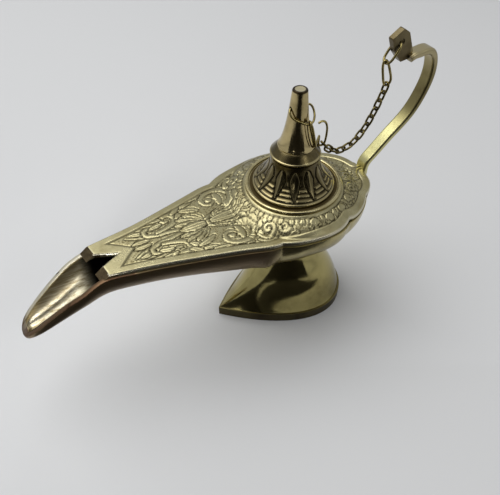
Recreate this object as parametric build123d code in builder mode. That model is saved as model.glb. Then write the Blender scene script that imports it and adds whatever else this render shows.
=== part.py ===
import math
import os

from build123d import *

# Genie oil lamp in brass. Millimetres, +Z up, spout towards -X, handle towards +X.
# The origin is on the table, under the axis of the lid.

# Clearances
seat_gap = 0.05
sliding_gap = 0.3
chain_gap = 0.1

# Foot: a domed pedestal on a teardrop base with its point under the spout
foot_height = 34.6
foot_front = 33.5
foot_rear = 24.5
foot_half_width = 20.6
foot_band = 4.6
band_step = 0.6
foot_wall = 2.2
foot_point_fill = 2.0
foot_top_radius = 9.2
foot_top_thickness = 5.6

# Foot screw, washer and nut
foot_screw_radius = 2.5
foot_screw_head_radius = 4.6
foot_screw_head_height = 2.6
foot_screw_head_round = 0.9
foot_screw_slot_width = 1.2
foot_screw_slot_depth = 1.3
foot_screw_end_length = 1.4
foot_washer_radius = 5.6
foot_washer_thickness = 1.0
foot_nut_flats = 8.0
foot_nut_thickness = 4.0
screw_hole_gap = 0.2

# Bowl: a boat-shaped casting whose front end runs out into an open spout
bowl_depth = 20.4
bowl_half_width = 26.5
bowl_wall = 2.0
bowl_rear = 31.5
bowl_rear_wall = 2.5
bowl_boss_drop = 0.4
bowl_pad_radius = 6.6
bowl_pad_height = 3.8
spout_tip = -106.0
spout_lip = 0.8
spout_wall = 1.6

# Top plate: a flat cover with a domed middle, a notch at the front and scalloped sides
plate_front = -75.4
plate_front_half_width = 8.2
plate_rear = 32.4
plate_inset = 0.5
plate_thickness = 1.6
plate_dome_radius = 25.5
plate_dome_rise = 4.0
plate_dome_edge = 1.6
plate_dome_bulge = 0.62
plate_hole_radius = 14.6
notch_half_width = 3.3
notch_depth = 7.3
scallop_radius = 3.0
scallop_depth = 0.6
scallop_places = [-24.0, 4.0, 20.0]

# Seat ring round the lid opening
seat_radius = 18.0
seat_lip_width = 1.4
seat_lip_height = 1.3
seat_ledge = 0.6
seat_opening_radius = 13.0
seat_sleeve_depth = 3.0
seat_lip_round = 0.55

# Lid: a flared bell with a bead on top
lid_side_gap = 1.4
lid_rim_height = 1.0
lid_neck_radius = 8.8
lid_neck_height = 12.75
lid_flare = 0.45
lid_wall = 2.2
lid_groove_depth = 0.9
lid_bead_height = 3.8
lid_bead_reach = 8.9
lid_bead_top_radius = 7.0
lid_plug_depth = 3.0
lid_plug_wall = 0.8
lid_top_thickness = 2.8

# Finial: a slim cone screwed to the lid
finial_base_radius = 6.2
finial_base_height = 0.8
finial_tip_radius = 2.35
finial_tip_round = 0.6
finial_height = 21.2
finial_low_radius = 4.3
finial_low_height = 6.0
finial_high_radius = 3.0
finial_high_height = 12.8
finial_hole_height = 14.8
finial_hole_radius = 0.8
finial_shank_radius = 2.0
finial_shank_length = 8.0
finial_nut_flats = 7.0
finial_nut_thickness = 3.2

# Handle: a flat strap that rises behind the bowl and ends in an upright lug
strap_width = 5.3
strap_thickness = 2.4
strap_corner = 0.9
strap_pad_drop = 8.4
strap_bend_rise = 1.6
handle_reach = 24.3
handle_rise = 46.0
handle_top_length = 12.8
# Places on the strap's middle line, as shares of its reach and its rise
handle_curve = [
    (0.16, 0.14),
    (0.45, 0.295),
    (0.77, 0.465),
    (0.94, 0.645),
    (0.99, 0.84),
    (0.82, 0.995),
    (0.64, 0.99),
]
strap_end_drop = 1.4

# Lug: its outline and its hole are measured from the end of the strap
lug_thickness = 2.2
lug_hole_radius = 1.2
lug_hole_offset = (-4.8, 5.3)
lug_offsets = [(-3.6, -1.8), (1.0, -1.2), (1.0, 1.2), (-2.2, 8.1), (-4.8, 9.8), (-9.1, 7.0), (-7.1, 2.2)]
lug_corner = 0.5
slot_gap = 0.2

# Rivets through the strap's foot and the bowl's rear wall
rivet_radius = 1.2
rivet_head_radius = 1.5
rivet_head_height = 1.0
rivet_head_round = 0.7
rivet_drops = [5.1, 1.8]

# Chain and its end fittings, all bent from wire
fitting_wire = 0.9
chain_wire = 0.8
chain_links = 13
search_steps = 60
link_inner_length = 3.25
link_inner_width = 1.5
lug_link_length = 7.8
lug_pin_drop = 0.2
lug_link_inner_width = 3.0
lug_link_slope = 56.0
pear_length = 8.3
pear_slope = 110.0
pear_top_radius = 0.95
pear_bottom_radius = 1.6

# Wire loop through the finial, as a flat outline of places along X and down the loop
loop_wire = 0.75
loop_tilt = 48.0
loop_outline = [(-3.9, 0.0), (4.7, 0.0), (4.7, 4.0), (1.9, 7.0), (-3.9, 3.2)]
loop_bends = [0.9, 1.2, 2.0, 1.2, 1.6]
loop_hold_rise = 0.35

# Open hook between that loop and the chain
hook_wire = 0.8
hook_eye_width = 1.8
hook_eye_turn = 16.0
hook_tail_length = 6.4
hook_tail_rise = 1.0
hook_strand_turn = -53.3
hook_strand_gap = 0.25
hook_stem_rise = 0.8
hook_bend_reach = 2.3
hook_bend_drop = 2.7
hook_bend_inner_radius = 1.0
hook_bend_shift = 0.15
hook_curl_reach = 3.0
hook_curl_height = 8.6
hook_small_bend = 1.0
hook_curl_bend = 2.6
hook_turn_share = 0.9

os.makedirs("parts", exist_ok=True)


def save(piece, name):
    piece.label = name
    export_step(piece, f"parts/{name}.step")


# Heights that follow from the stack
bowl_bottom = foot_height + bowl_boss_drop
rim_height = bowl_bottom + bowl_depth
plate_top = rim_height + plate_thickness
seat_height = plate_top + plate_dome_rise
ledge_height = seat_height + seat_ledge
lid_bottom = ledge_height + seat_gap
pad_top = foot_height + bowl_pad_height

# Stations of the covered part of the bowl, each as place along X, half width and depth
covered_stations = [
    (-70.0, 9.5, 12.4),
    (-65.0, 10.4, 12.8),
    (-60.0, 11.4, 13.2),
    (-52.5, 13.2, 14.4),
    (-45.0, 15.2, 15.8),
    (-37.5, 17.2, 17.6),
    (-30.0, 19.4, 19.2),
    (-15.0, 24.2, bowl_depth),
    (0.0, bowl_half_width, bowl_depth),
    (13.0, 23.2, bowl_depth - 0.6),
    (23.0, 16.9, bowl_depth - 3.6),
]

# Stations of the open spout, each as place along X, half width, drop of the edge and depth
spout_stations = [
    (spout_tip, 2.2, 18.8, 2.0),
    (-104.7, 4.0, 17.5, 3.7),
    (-102.0, 5.4, 15.4, 5.2),
    (-97.0, 6.8, 11.4, 7.8),
    (-91.0, 7.9, 7.2, 9.6),
    (-84.0, 9.1, 3.3, 10.6),
    (plate_front, plate_front_half_width + plate_inset, 0.0, 12.2),
]
bowl_stations = spout_stations + [(x, width, 0.0, depth) for x, width, depth in covered_stations]
rear_station = (bowl_rear, 7.0, 0.0, 10.0)


def rim_half_width(place):
    for before, after in zip(bowl_stations, bowl_stations[1:]):
        if before[0] <= place <= after[0]:
            share = (place - before[0]) / (after[0] - before[0])
            return before[1] + share * (after[1] - before[1])
    return rear_station[1]


# A teardrop with its point at -front: sharpness 1 gives a sharp point, 0 gives an ellipse
def teardrop(front, rear, half_width, sharpness):
    middle = (rear - front) / 2
    half_length = (rear + front) / 2
    widest = 2 * ((sharpness + 1) / (sharpness + 2)) ** ((sharpness + 1) / 2) / math.sqrt(sharpness + 2)
    steps = 32
    points = []
    for step in range(steps + 1):
        turn = 2 * math.pi * step / steps
        across = math.sin(turn) * abs(math.sin(turn / 2)) ** sharpness
        points.append((middle - half_length * math.cos(turn), half_width * across / widest))
    return points


# Foot sections, each as height, front, rear, half width and sharpness
foot_sections = [
    (foot_band, foot_front - band_step, foot_rear - band_step, foot_half_width - band_step, 1.0),
    (9.0, 25.5, 22.9, 18.6, 0.6),
    (15.0, 19.6, 20.6, 17.0, 0.3),
    (21.0, 15.2, 17.0, 14.6, 0.1),
    (27.0, 11.2, 12.2, 11.4, 0.0),
    (foot_height, foot_top_radius, foot_top_radius, foot_top_radius, 0.0),
]
foot_ceiling = foot_height - foot_top_thickness

with BuildPart() as foot:
    with BuildSketch():
        with BuildLine():
            Spline(*teardrop(foot_front, foot_rear, foot_half_width, 1.0))
        make_face()
    extrude(amount=foot_band)
    for height, front, rear, half_width, sharpness in foot_sections:
        with BuildSketch(Plane.XY.offset(height)):
            with BuildLine():
                Spline(*teardrop(front, rear, half_width, sharpness))
            make_face()
    loft()
    hollow_heights = [0.0, *[section[0] for section in foot_sections[1:4]], foot_ceiling]
    for height, (_, front, rear, half_width, sharpness) in zip(hollow_heights, foot_sections):
        point_wall = foot_wall * (1 + foot_point_fill * sharpness)
        with BuildSketch(Plane.XY.offset(height)):
            with BuildLine():
                inner_width = half_width - foot_wall
                Spline(*teardrop(front - point_wall, rear - foot_wall, inner_width, sharpness / 2))
            make_face()
    loft(mode=Mode.SUBTRACT)
    with Locations((0, 0, foot_ceiling)):
        Cylinder(
            foot_screw_radius + screw_hole_gap,
            foot_top_thickness,
            align=(Align.CENTER, Align.CENTER, Align.MIN),
            mode=Mode.SUBTRACT,
        )
save(foot.part, "foot")

with BuildPart() as foot_screw:
    with BuildSketch(Plane.XY.offset(foot_ceiling - foot_screw_head_height)):
        Circle(foot_screw_head_radius)
    extrude(amount=foot_screw_head_height)
    fillet(foot_screw.edges().group_by(Axis.Z)[0], foot_screw_head_round)
    with BuildSketch(Plane.XY.offset(foot_ceiling)):
        Circle(foot_screw_radius)
    screw_end = pad_top + foot_washer_thickness + foot_nut_thickness + foot_screw_end_length
    extrude(amount=screw_end - foot_ceiling)
    with BuildSketch(Plane.XY.offset(foot_ceiling - foot_screw_head_height)):
        Rectangle(2 * foot_screw_head_radius, foot_screw_slot_width)
    extrude(amount=foot_screw_slot_depth, mode=Mode.SUBTRACT)
save(foot_screw.part, "foot_screw")

with BuildPart() as foot_washer:
    with BuildSketch(Plane.XY.offset(pad_top)):
        Circle(foot_washer_radius)
        Circle(foot_screw_radius + screw_hole_gap, mode=Mode.SUBTRACT)
    extrude(amount=foot_washer_thickness)
save(foot_washer.part, "foot_washer")

with BuildPart() as foot_nut:
    with BuildSketch(Plane.XY.offset(pad_top + foot_washer_thickness)):
        RegularPolygon(foot_nut_flats / 2, 6, major_radius=False)
        Circle(foot_screw_radius + seat_gap, mode=Mode.SUBTRACT)
    extrude(amount=foot_nut_thickness)
save(foot_nut.part, "foot_nut")


# The lower half of an ellipse whose top edge is at the given height
def keel_arc(top, half_width, depth):
    return EllipticalCenterArc((0, top), half_width, depth, start_angle=180, arc_size=180)


rivet_heights = [rim_height - drop for drop in rivet_drops]

with BuildPart() as bowl:
    for x, half_width, drop, depth in bowl_stations + [rear_station]:
        with BuildSketch(Plane.YZ.offset(x)):
            with BuildLine():
                keel = keel_arc(rim_height - drop, half_width, depth)
                Line(keel @ 1, keel @ 0)
            make_face()
    loft()
    with BuildSketch(Plane.XY.offset(foot_height)):
        Circle(foot_top_radius)
    extrude(amount=bowl_boss_drop + bowl_wall)
    inner_stations = bowl_stations[1:] + [rear_station]
    inner_places = [station[0] for station in inner_stations]
    inner_places[0] += spout_lip
    inner_places[-1] -= bowl_rear_wall
    for x, (_, half_width, drop, depth) in zip(inner_places, inner_stations):
        top = rim_height - drop
        wall = spout_wall if x < plate_front else bowl_wall
        with BuildSketch(Plane.YZ.offset(x)):
            with BuildLine():
                keel = keel_arc(top, half_width - wall, depth - wall)
                Polyline(
                    keel @ 1,
                    (half_width - wall, top + wall),
                    (wall - half_width, top + wall),
                    keel @ 0,
                )
            make_face()
    loft(mode=Mode.SUBTRACT)
    split(bisect_by=Plane.XY.offset(rim_height), keep=Keep.BOTTOM)
    with BuildSketch(Plane.XY.offset(bowl_bottom)):
        Circle(bowl_pad_radius)
    extrude(amount=pad_top - bowl_bottom)
    with BuildSketch(Plane.XY.offset(foot_height)):
        Circle(foot_screw_radius + screw_hole_gap)
    extrude(amount=bowl_pad_height, mode=Mode.SUBTRACT)
    for place in scallop_places:
        for side in (-1, 1):
            edge = rim_half_width(place) - plate_inset
            with BuildSketch(Plane.XY.offset(rim_height)):
                with Locations((place, side * (edge - scallop_depth + scallop_radius))):
                    Circle(scallop_radius)
            extrude(amount=-bowl_depth, mode=Mode.SUBTRACT)
    for height in rivet_heights:
        with BuildSketch(Plane.YZ.offset(bowl_rear)):
            with Locations((0, height)):
                Circle(rivet_radius + seat_gap)
        extrude(amount=-2 * bowl_rear_wall, mode=Mode.SUBTRACT)
save(bowl.part, "bowl")

with BuildPart() as top_plate:
    with BuildSketch(Plane.XY.offset(rim_height)):
        with BuildLine():
            Polyline(
                (plate_front + notch_depth, 0),
                (plate_front, notch_half_width),
                (plate_front, plate_front_half_width),
            )
            Spline(
                (plate_front, plate_front_half_width),
                *[(x, width - plate_inset) for x, width, _ in covered_stations],
                (plate_rear, 0),
                tangents=[(1, 0.1), (0, -1)],
            )
            mirror(about=Plane.XZ)
        make_face()
        Circle(plate_dome_radius - plate_dome_edge / 2, mode=Mode.SUBTRACT)
        for place in scallop_places:
            for side in (-1, 1):
                edge = rim_half_width(place) - plate_inset
                with Locations((place, side * (edge - scallop_depth + scallop_radius))):
                    Circle(scallop_radius, mode=Mode.SUBTRACT)
        with Locations((bowl_rear, 0)):
            Rectangle(
                2 * (plate_rear - bowl_rear),
                strap_width + 2 * slot_gap,
                align=(Align.MIN, Align.CENTER),
                mode=Mode.SUBTRACT,
            )
    extrude(amount=plate_thickness)
    with BuildSketch(Plane.XZ):
        with BuildLine():
            middle = (plate_dome_radius + seat_radius) / 2
            bulge = plate_top + plate_dome_bulge * plate_dome_rise
            inner_edge = plate_dome_radius - plate_dome_edge
            dome = ThreePointArc(
                (plate_dome_radius, plate_top),
                (middle, bulge),
                (seat_radius, seat_height),
            )
            Polyline(
                dome @ 1,
                (plate_hole_radius, seat_height),
                (plate_hole_radius, seat_height - plate_thickness),
                (seat_radius - plate_thickness / 2, seat_height - plate_thickness),
            )
            ThreePointArc(
                (seat_radius - plate_thickness / 2, seat_height - plate_thickness),
                (middle - plate_thickness / 2, bulge - plate_thickness),
                (inner_edge, rim_height),
            )
            Polyline((inner_edge, rim_height), (plate_dome_radius, rim_height), dome @ 0)
        make_face()
    revolve(axis=Axis.Z)
save(top_plate.part, "top_plate")

with BuildPart() as seat_ring:
    with BuildSketch(Plane.XZ):
        with BuildLine():
            Polyline(
                (seat_opening_radius, seat_height - seat_sleeve_depth),
                (plate_hole_radius - seat_gap, seat_height - seat_sleeve_depth),
                (plate_hole_radius - seat_gap, seat_height),
                (seat_radius, seat_height),
                (seat_radius, seat_height + seat_lip_height),
                (seat_radius - seat_lip_width, seat_height + seat_lip_height),
                (seat_radius - seat_lip_width, ledge_height),
                (seat_opening_radius, ledge_height),
                close=True,
            )
        make_face()
    revolve(axis=Axis.Z)
    fillet(seat_ring.edges().group_by(Axis.Z)[-1], seat_lip_round)
save(seat_ring.part, "seat_ring")

# Lid heights and radii
lid_rim_radius = seat_radius - seat_lip_width - lid_side_gap
lid_rim_top = lid_bottom + lid_rim_height
lid_neck_base = lid_bottom + lid_neck_height
lid_top = lid_neck_base + lid_bead_height
lid_ceiling = lid_top - lid_top_thickness
plug_radius = seat_opening_radius - sliding_gap
groove_radius = lid_neck_radius - lid_groove_depth

with BuildPart() as lid:
    with BuildSketch(Plane.XZ):
        with BuildLine():
            mid_height = (lid_rim_top + lid_neck_base) / 2
            mid_radius = lid_neck_radius + lid_flare * (lid_rim_radius - lid_neck_radius) / 2
            inner_neck = lid_neck_radius - lid_wall
            inner_plug = plug_radius - lid_plug_wall
            Polyline(
                (inner_plug, lid_bottom - lid_plug_depth),
                (plug_radius, lid_bottom - lid_plug_depth),
                (plug_radius, lid_bottom),
                (lid_rim_radius, lid_bottom),
                (lid_rim_radius, lid_rim_top),
            )
            ThreePointArc(
                (lid_rim_radius, lid_rim_top),
                (mid_radius, mid_height),
                (lid_neck_radius, lid_neck_base),
            )
            Line((lid_neck_radius, lid_neck_base), (groove_radius, lid_neck_base))
            ThreePointArc(
                (groove_radius, lid_neck_base),
                (lid_bead_reach, lid_neck_base + lid_bead_height / 2),
                (lid_bead_top_radius, lid_top),
            )
            Polyline(
                (lid_bead_top_radius, lid_top),
                (finial_shank_radius + seat_gap, lid_top),
                (finial_shank_radius + seat_gap, lid_ceiling),
                (inner_neck, lid_ceiling),
                (inner_neck, lid_neck_base),
            )
            ThreePointArc(
                (inner_neck, lid_neck_base),
                (mid_radius - lid_wall, mid_height),
                (inner_plug, lid_rim_top),
            )
            Line((inner_plug, lid_rim_top), (inner_plug, lid_bottom - lid_plug_depth))
        make_face()
    revolve(axis=Axis.Z)
save(lid.part, "lid")

# Finial places
finial_top = lid_top + finial_height
finial_hole = lid_top + finial_hole_height

with BuildPart() as finial:
    with BuildSketch(Plane.XZ):
        with BuildLine():
            base_top = lid_top + finial_base_height
            Polyline(
                (0, lid_top - finial_shank_length),
                (finial_shank_radius, lid_top - finial_shank_length),
                (finial_shank_radius, lid_top),
                (finial_base_radius, lid_top),
                (finial_base_radius, base_top),
            )
            Spline(
                (finial_base_radius, base_top),
                (finial_low_radius, lid_top + finial_low_height),
                (finial_high_radius, lid_top + finial_high_height),
                (finial_tip_radius, finial_top),
            )
            Polyline(
                (finial_tip_radius, finial_top),
                (0, finial_top),
                (0, lid_top - finial_shank_length),
            )
        make_face()
    revolve(axis=Axis.Z)
    fillet(finial.edges().group_by(Axis.Z)[-1], finial_tip_round)
    with BuildSketch(Plane.YZ):
        with Locations((0, finial_hole)):
            Circle(finial_hole_radius)
    extrude(amount=finial_base_radius, both=True, mode=Mode.SUBTRACT)
save(finial.part, "finial")

with BuildPart() as finial_nut:
    with BuildSketch(Plane.XY.offset(lid_ceiling - finial_nut_thickness)):
        RegularPolygon(finial_nut_flats / 2, 6, major_radius=False)
        Circle(finial_shank_radius + seat_gap, mode=Mode.SUBTRACT)
    extrude(amount=finial_nut_thickness)
save(finial_nut.part, "finial_nut")

# Handle places
strap_middle = bowl_rear + strap_thickness / 2
strap_pad_bottom = rim_height - strap_pad_drop
handle_back = bowl_rear + handle_reach
handle_top = rim_height + handle_rise
lug_start = handle_back - handle_top_length
lug_hole_place = (lug_start + lug_hole_offset[0], handle_top + lug_hole_offset[1])

with BuildPart() as handle:
    with BuildLine(Plane.XZ) as strap_path:
        strap_bend = (strap_middle, rim_height + strap_bend_rise)
        Line((strap_middle, strap_pad_bottom), strap_bend)
        Spline(
            strap_bend,
            *[(bowl_rear + along * handle_reach, rim_height + up * handle_rise) for along, up in handle_curve],
            (lug_start, handle_top - strap_end_drop),
            tangents=[(0, 1), (-1, -0.5)],
        )
    with BuildSketch(Plane.XY.offset(strap_pad_bottom)):
        with Locations((strap_middle, 0)):
            RectangleRounded(strap_thickness, strap_width, strap_corner)
    sweep(path=strap_path.wire())
    with BuildSketch(Plane.XZ):
        with BuildLine():
            Polyline(*[(lug_start + x, handle_top + z) for x, z in lug_offsets], close=True)
        make_face()
        fillet(vertices(), lug_corner)
        with Locations(lug_hole_place):
            Circle(lug_hole_radius, mode=Mode.SUBTRACT)
    extrude(amount=lug_thickness / 2, both=True)
    for height in rivet_heights:
        with BuildSketch(Plane.YZ.offset(bowl_rear)):
            with Locations((0, height)):
                Circle(rivet_radius + seat_gap)
        extrude(amount=strap_thickness, mode=Mode.SUBTRACT)
save(handle.part, "handle")

with BuildPart() as handle_rivets:
    inside = bowl_rear - bowl_rear_wall
    outside = bowl_rear + strap_thickness
    for height in rivet_heights:
        with BuildSketch(Plane.YZ.offset(inside - rivet_head_height), Plane.YZ.offset(outside)):
            with Locations((0, height)):
                Circle(rivet_head_radius)
        extrude(amount=rivet_head_height)
        with BuildSketch(Plane.YZ.offset(inside)):
            with Locations((0, height)):
                Circle(rivet_radius)
        extrude(amount=outside - inside)
    rivet_ends = handle_rivets.edges().group_by(Axis.X)
    fillet(rivet_ends[0] + rivet_ends[-1], rivet_head_round)
save(handle_rivets.part, "handle_rivets")


# A closed loop of wire along the plane's X, with an arc at each end: its wire's middle
# line runs from 0 to length
def wire_loop(plane, length, first_radius, last_radius, wire):
    slope = math.asin((last_radius - first_radius) / (length - first_radius - last_radius))
    first_x = first_radius * (1 - math.sin(slope))
    first_y = first_radius * math.cos(slope)
    last_x = length - last_radius * (1 + math.sin(slope))
    last_y = last_radius * math.cos(slope)
    with BuildPart() as loop:
        with BuildLine(plane) as path:
            first = ThreePointArc((first_x, -first_y), (0, 0), (first_x, first_y))
            Line((first_x, first_y), (last_x, last_y))
            ThreePointArc((last_x, last_y), (length, 0), (last_x, -last_y))
            Line((last_x, -last_y), (first_x, -first_y))
        with BuildSketch(Plane(origin=first @ 0, z_dir=first % 0)):
            Circle(wire / 2)
        sweep(path=path.wire())
    return loop.part


# A plane whose X runs down the slope from the lug towards the lid
def hanging_plane(pin, slope, edge_on, reach=0.0):
    run = Vector(-math.cos(slope), 0, -math.sin(slope))
    facing = Vector(-math.sin(slope), 0, math.cos(slope)) if edge_on else Vector(0, 1, 0)
    return Plane(origin=Vector(pin[0], 0, pin[1]) - run * reach, x_dir=run, z_dir=facing)


def next_pin(pin, slope, length):
    return (pin[0] - length * math.cos(slope), pin[1] - length * math.sin(slope))


# The link at the lug straddles it, and the pear-shaped link hangs from that
lug_slope = math.radians(lug_link_slope)
lug_pin = next_pin(lug_hole_place, lug_slope, lug_pin_drop)
lug_link_radius = (lug_link_inner_width + fitting_wire) / 2
lug_link = wire_loop(
    hanging_plane(lug_pin, lug_slope, True),
    lug_link_length,
    lug_link_radius,
    lug_link_radius,
    fitting_wire,
)
save(lug_link, "lug_link")

pear_pin = next_pin(lug_pin, lug_slope, lug_link_length)
pear_angle = math.radians(pear_slope)
pear_reach = fitting_wire + chain_gap
pear_end_reach = (fitting_wire + chain_wire) / 2 + chain_gap
pear_link = wire_loop(
    hanging_plane(pear_pin, pear_angle, False, pear_reach),
    pear_length + pear_reach + pear_end_reach,
    pear_top_radius,
    pear_bottom_radius,
    fitting_wire,
)
save(pear_link, "pear_link")
chain_start = next_pin(pear_pin, pear_angle, pear_length)

# The last pin of the chain rests in the hook's bend
hook_bend_place = (lid_bead_reach + hook_bend_reach, lid_top - hook_bend_drop)

# Each odd link stands edge on and carries the pins, and each even link lies in the chain's plane
link_radius = (link_inner_width + chain_wire) / 2
link_length = link_inner_length + chain_wire
pin_reach = chain_wire + chain_gap
pin_lengths = []
for number in range(1, chain_links + 1):
    pin_lengths.append(link_length if number % 2 else link_length - 2 * pin_reach)


# A hanging chain's slopes change so that their tangents fall evenly from link to link
def hanging_slopes(steepness, lowest):
    return [math.atan(steepness * (lowest - number)) for number in range(1, chain_links + 1)]


def chain_end(steepness, lowest):
    pin = chain_start
    for slope, length in zip(hanging_slopes(steepness, lowest), pin_lengths):
        pin = next_pin(pin, slope, length)
    return pin


# The lowest point is moved until the chain's end is at the height of the hook's bend
def lowest_for(steepness):
    low, high = -4.0 * chain_links, 4.0 * chain_links
    for _ in range(search_steps):
        middle = (low + high) / 2
        if chain_end(steepness, middle)[1] > hook_bend_place[1]:
            low = middle
        else:
            high = middle
    return middle


# Then the steepness is changed until the end is at the bend's place along X
def hanging_chain():
    low, high = 0.01, 20.0
    for _ in range(search_steps):
        middle = math.sqrt(low * high)
        if chain_end(middle, lowest_for(middle))[0] < hook_bend_place[0]:
            low = middle
        else:
            high = middle
    return hanging_slopes(middle, lowest_for(middle))


chain_pin = chain_start
for number, (slope, length) in enumerate(zip(hanging_chain(), pin_lengths), start=1):
    edge_on = number % 2 == 1
    link = wire_loop(
        hanging_plane(chain_pin, slope, edge_on, 0.0 if edge_on else pin_reach),
        link_length,
        link_radius,
        link_radius,
        chain_wire,
    )
    save(link, f"chain_link_{number:02d}")
    chain_pin = next_pin(chain_pin, slope, length)

# The loop passes through the finial and hangs out over the cone on the near side
tilt = math.radians(loop_tilt)
loop_down = Vector(0, -math.sin(tilt), -math.cos(tilt))
loop_face = Vector(1, 0, 0).cross(loop_down)

with BuildPart() as finial_loop:
    with BuildLine(Plane(origin=(0, 0, finial_hole), x_dir=(1, 0, 0), z_dir=loop_face)):
        bent_loop = FilletPolyline(*loop_outline, radius=loop_bends, close=True)
    with BuildSketch(Plane(origin=bent_loop @ 0, z_dir=bent_loop % 0)):
        Circle(loop_wire / 2)
    sweep(path=bent_loop)
save(finial_loop.part, "finial_loop")

# The hook's long eye hangs in the loop's lowest bend, its stem bends under the chain's last
# link and its end curls open
hold_x, hold_down = loop_outline[3]
hold_down -= loop_hold_rise
loop_hold = Vector(hold_x, 0, finial_hole) + loop_down * hold_down
strand_turn = math.radians(hook_strand_turn)
strand_radius = finial_base_radius + hook_wire / 2 + hook_strand_gap
stem_height = lid_top + hook_stem_rise
strand_x = strand_radius * math.cos(strand_turn)
strand_y = strand_radius * math.sin(strand_turn)
strand_end = Vector(strand_x, strand_y, stem_height)
eye_down = (strand_end - loop_hold).normalized()
eye_turn = math.radians(hook_eye_turn)
eye_side = loop_face * math.cos(eye_turn) + Vector(1, 0, 0) * math.sin(eye_turn)
eye_side = (eye_side - eye_down * eye_side.dot(eye_down)).normalized()
eye_radius = (hook_eye_width + hook_wire) / 2
eye_top = loop_hold - eye_down * ((loop_wire + hook_wire) / 2 + chain_gap)
bend_radius = hook_bend_inner_radius + hook_wire / 2
bend_x = hook_bend_place[0] - hook_bend_shift
bend_z = hook_bend_place[1] + hook_bend_shift

with BuildPart() as lid_hook:
    with BuildLine():
        bent_hook = FilletPolyline(
            strand_end - eye_side * (hook_wire + 2 * chain_gap) - eye_down * hook_tail_rise,
            eye_top - eye_side * eye_radius + eye_down * hook_tail_length,
            eye_top - eye_side * eye_radius,
            eye_top + eye_side * eye_radius,
            strand_end,
            (bend_x - bend_radius, 0, stem_height),
            (bend_x - bend_radius, 0, bend_z - bend_radius),
            (bend_x + bend_radius, 0, bend_z - bend_radius),
            (bend_x + bend_radius, 0, bend_z + hook_curl_height),
            (bend_x - hook_curl_reach, 0, bend_z + hook_curl_height),
            radius=[
                hook_small_bend,
                hook_turn_share * eye_radius,
                hook_turn_share * eye_radius,
                hook_small_bend,
                hook_small_bend,
                hook_turn_share * bend_radius,
                hook_turn_share * bend_radius,
                hook_curl_bend,
            ],
        )
    with BuildSketch(Plane(origin=bent_hook @ 0, z_dir=bent_hook % 0)):
        Circle(hook_wire / 2)
    sweep(path=bent_hook)
save(lid_hook.part, "lid_hook")
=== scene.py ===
import bpy
import math
import numpy as np
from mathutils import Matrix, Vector


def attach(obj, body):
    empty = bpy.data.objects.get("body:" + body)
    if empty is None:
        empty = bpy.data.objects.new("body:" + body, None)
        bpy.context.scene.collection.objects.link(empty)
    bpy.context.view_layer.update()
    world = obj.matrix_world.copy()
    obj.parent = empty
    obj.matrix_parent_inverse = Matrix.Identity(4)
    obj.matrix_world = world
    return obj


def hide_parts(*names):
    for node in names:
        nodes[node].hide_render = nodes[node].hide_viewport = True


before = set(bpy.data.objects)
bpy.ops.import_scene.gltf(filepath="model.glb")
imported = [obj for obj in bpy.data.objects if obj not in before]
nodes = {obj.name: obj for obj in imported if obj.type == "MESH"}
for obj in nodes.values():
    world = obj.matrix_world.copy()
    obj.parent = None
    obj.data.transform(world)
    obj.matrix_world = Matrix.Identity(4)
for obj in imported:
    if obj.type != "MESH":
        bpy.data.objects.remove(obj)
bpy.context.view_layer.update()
bpy.ops.object.select_all(action="DESELECT")
mm = 0.001
weldGap = 0.004 * mm
tiny = 1e-6
setMode = bpy.ops.object.mode_set
print("frame loaded,", len(nodes), "nodes")


# small tools

def eased(low, high, value):  # 0 at low, 1 at high, soft at both ends
    share = np.clip((value - low) / (high - low), 0, 1)
    return share * share * (3 - 2 * share)


def hump(value, middle, width):  # 1 at the middle, falling off on both sides
    return np.exp(-((value - middle) / width) ** 2)


def polar(radius, angle):  # flat place at a radius and an angle in degrees
    turn = math.radians(angle)
    return radius * np.array([math.cos(turn), math.sin(turn)])


def readPoints(obj):  # vertex places in mm
    flat = np.empty(len(obj.data.vertices) * 3)
    obj.data.vertices.foreach_get("co", flat)
    return flat.reshape(-1, 3) / mm


def writePoints(obj, places):
    obj.data.vertices.foreach_set("co", (places * mm).ravel())
    obj.data.update()


def paint(obj, name, values):  # one number per vertex, read by the materials
    layer = obj.data.attributes.new(name, "FLOAT", "POINT")
    layer.data.foreach_set("value", np.asarray(values, dtype=np.float32))


def smoothLine(places, steps):  # a smooth line through a few chosen places
    places = np.array(places, float)
    ends = np.vstack([2 * places[0] - places[1], places, 2 * places[-1] - places[-2]])
    line = []
    for before, start, end, after in zip(ends, ends[1:], ends[2:], ends[3:]):
        for share in np.linspace(0, 1, steps, endpoint=False):
            bend = (2 * before - 5 * start + 4 * end - after) * share ** 2
            swing = (3 * start - before - 3 * end + after) * share ** 3
            line.append(start + ((end - before) * share + bend + swing) / 2)
    return np.vstack([line, places[-1:]])


def pick(obj):  # the only one selected, and active
    bpy.ops.object.select_all(action="DESELECT")
    obj.select_set(True)
    bpy.context.view_layer.objects.active = obj


def editAll(obj):
    pick(obj)
    setMode(mode="EDIT")
    bpy.ops.mesh.select_all(action="SELECT")


def weld(obj):  # joins points that lie on each other
    editAll(obj)
    bpy.ops.mesh.remove_doubles(threshold=weldGap)
    setMode(mode="OBJECT")


def faceOutwards(obj):
    editAll(obj)
    bpy.ops.mesh.normals_make_consistent(inside=False)
    setMode(mode="OBJECT")


def addSheets(along, across):  # two flat sheets joined at their edges, and each point's share along, across and side
    bpy.ops.mesh.primitive_grid_add(x_subdivisions=along, y_subdivisions=across, size=2)
    sheets = bpy.context.object
    setMode(mode="EDIT")
    bpy.ops.mesh.extrude_region_move(TRANSFORM_OT_translate={"value": (0, 0, 1)})
    setMode(mode="OBJECT")
    places = readPoints(sheets) * mm
    return sheets, (places[:, 0] + 1) / 2, places[:, 1], places[:, 2] > 0.5


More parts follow.
